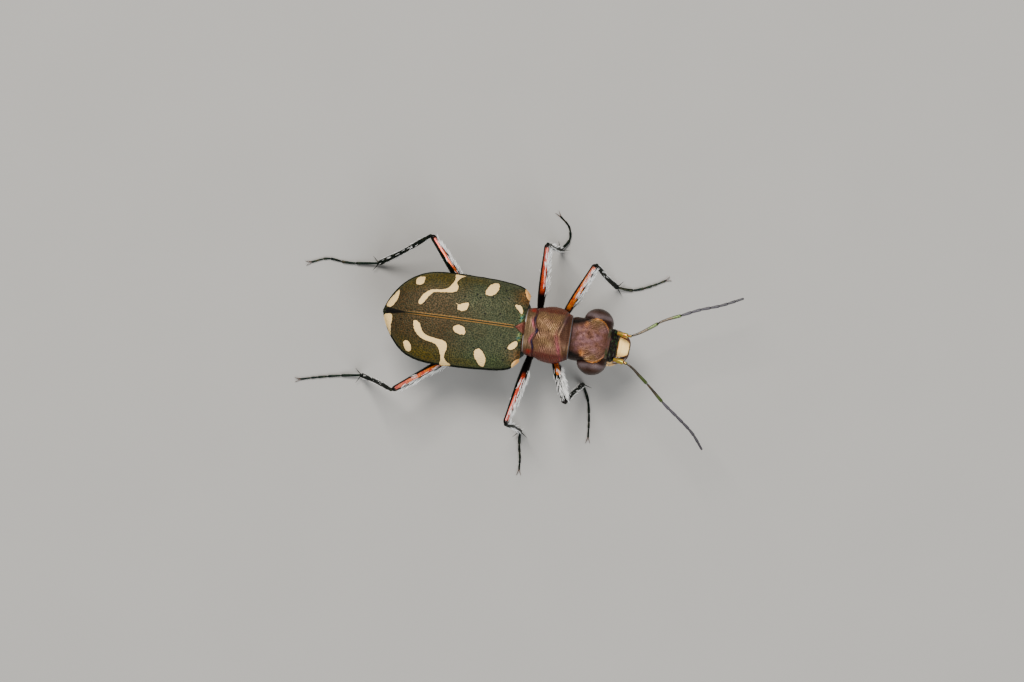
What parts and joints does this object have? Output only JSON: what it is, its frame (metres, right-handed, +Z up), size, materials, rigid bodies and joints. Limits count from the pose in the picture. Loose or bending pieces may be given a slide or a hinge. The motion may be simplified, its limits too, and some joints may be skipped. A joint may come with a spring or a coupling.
{
  "type": "tiger beetle",
  "caption": "Tiger beetle standing still on long slender legs, with marked wing cases, bulging eyes, sickle jaws and long feelers; a life-size museum model.",
  "frame": {"origin": "centre of the whole beetle's box, on the floor it stands on", "axes": "+X towards the head, +Y to the beetle's left, +Z up"},
  "size_m": [0.0218, 0.0132, 0.0046],
  "materials": {
    "wing_case": "olive green to coppery brown cuticle, finely punctured, with cream marks",
    "copper_shield": "metallic copper and maroon cuticle with fine wrinkles",
    "underside": "dark metallic green to copper cuticle with white hairs at the sides",
    "eye": "dark brown compound eye, glossy, finely faceted",
    "lip": "cream upper lip",
    "jaw": "dark brown jaws with paler bases and palps",
    "feeler": "metallic green and copper base joints, dull grey beyond",
    "coxa": "dark metallic coxae with white hairs",
    "thigh": "metallic red and orange on top, black green behind, white hairs in front",
    "shank": "black green shanks and feet with white bristles"
  },
  "bodies": {
    "root": {"elytron_left": "wing_case", "elytron_right": "wing_case", "prothorax": "copper_shield", "head": "copper_shield", "scutellum": "copper_shield", "abdomen": "underside", "pterothorax": "underside", "labium": "underside", "eye_left": "eye", "eye_right": "eye", "labrum": "lip", "mandible_left": "jaw", "mandible_right": "jaw", "maxillary_palp_left": "jaw", "maxillary_palp_right": "jaw", "antenna_left": "feeler", "antenna_right": "feeler", "coxa_front_left": "coxa", "coxa_front_right": "coxa", "coxa_mid_left": "coxa", "coxa_mid_right": "coxa", "coxa_hind_left": "coxa", "coxa_hind_right": "coxa", "femur_front_left": "thigh", "femur_front_right": "thigh", "femur_mid_left": "thigh", "femur_mid_right": "thigh", "femur_hind_left": "thigh", "femur_hind_right": "thigh", "tibia_front_left": "shank", "tibia_front_right": "shank", "tibia_mid_left": "shank", "tibia_mid_right": "shank", "tibia_hind_left": "shank", "tibia_hind_right": "shank", "tarsus_front_left": "shank", "tarsus_front_right": "shank", "tarsus_mid_left": "shank", "tarsus_mid_right": "shank", "tarsus_hind_left": "shank", "tarsus_hind_right": "shank"}
  },
  "joints": []
}
